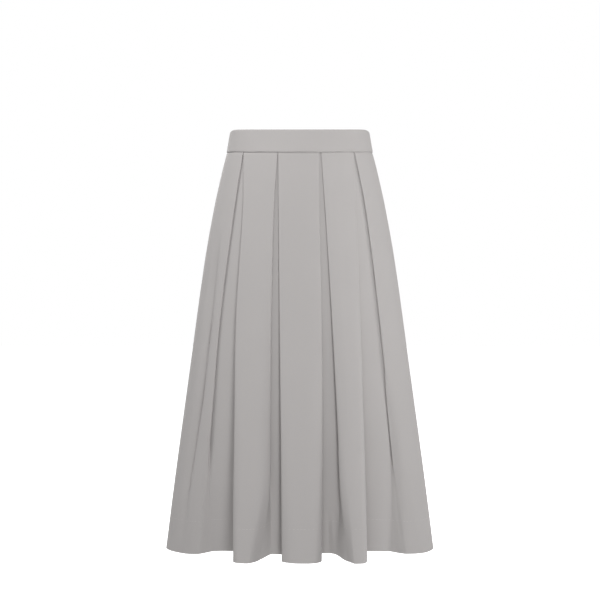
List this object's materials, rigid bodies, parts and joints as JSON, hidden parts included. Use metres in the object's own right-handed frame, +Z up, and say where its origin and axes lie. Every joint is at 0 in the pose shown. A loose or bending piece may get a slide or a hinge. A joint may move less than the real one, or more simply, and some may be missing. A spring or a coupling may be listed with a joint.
{
  "type": "pleated midi skirt",
  "caption": "Flared midi skirt with a fitted waistband, inverted pleats that open to a waving hem, and a concealed back zip with a swinging pull tab.",
  "frame": {"origin": "centre of the waist, half-way up the waistband, where a wearer's waist holds the skirt", "axes": "+Z up, the front faces -Y, +X is the wearer's left"},
  "size_m": [0.502, 0.2812, 0.783],
  "materials": {
    "cloth": "matte, smooth fine weave, warm light grey",
    "zip_tape": "matte woven tape, grey",
    "zip_metal": "satin paint, matched to the cloth"
  },
  "bodies": {
    "skirt": {"waistband_front": "cloth", "waistband_back_left": "cloth", "waistband_back_right": "cloth", "skirt_front": "cloth", "skirt_back_left": "cloth", "skirt_back_right": "cloth", "zip_tape_left": "zip_tape", "zip_tape_right": "zip_tape", "zip_slider": "zip_metal"},
    "pull_tab": {"zip_pull_tab": "zip_metal"}
  },
  "joints": [
    {"name": "pull_tab_swing", "type": "hinge", "parent": "skirt", "child": "pull_tab", "pos_m": [0, 0.09081, 0.0105], "axis": [1, 0, 0], "range_deg": [0, 150]}
  ]
}
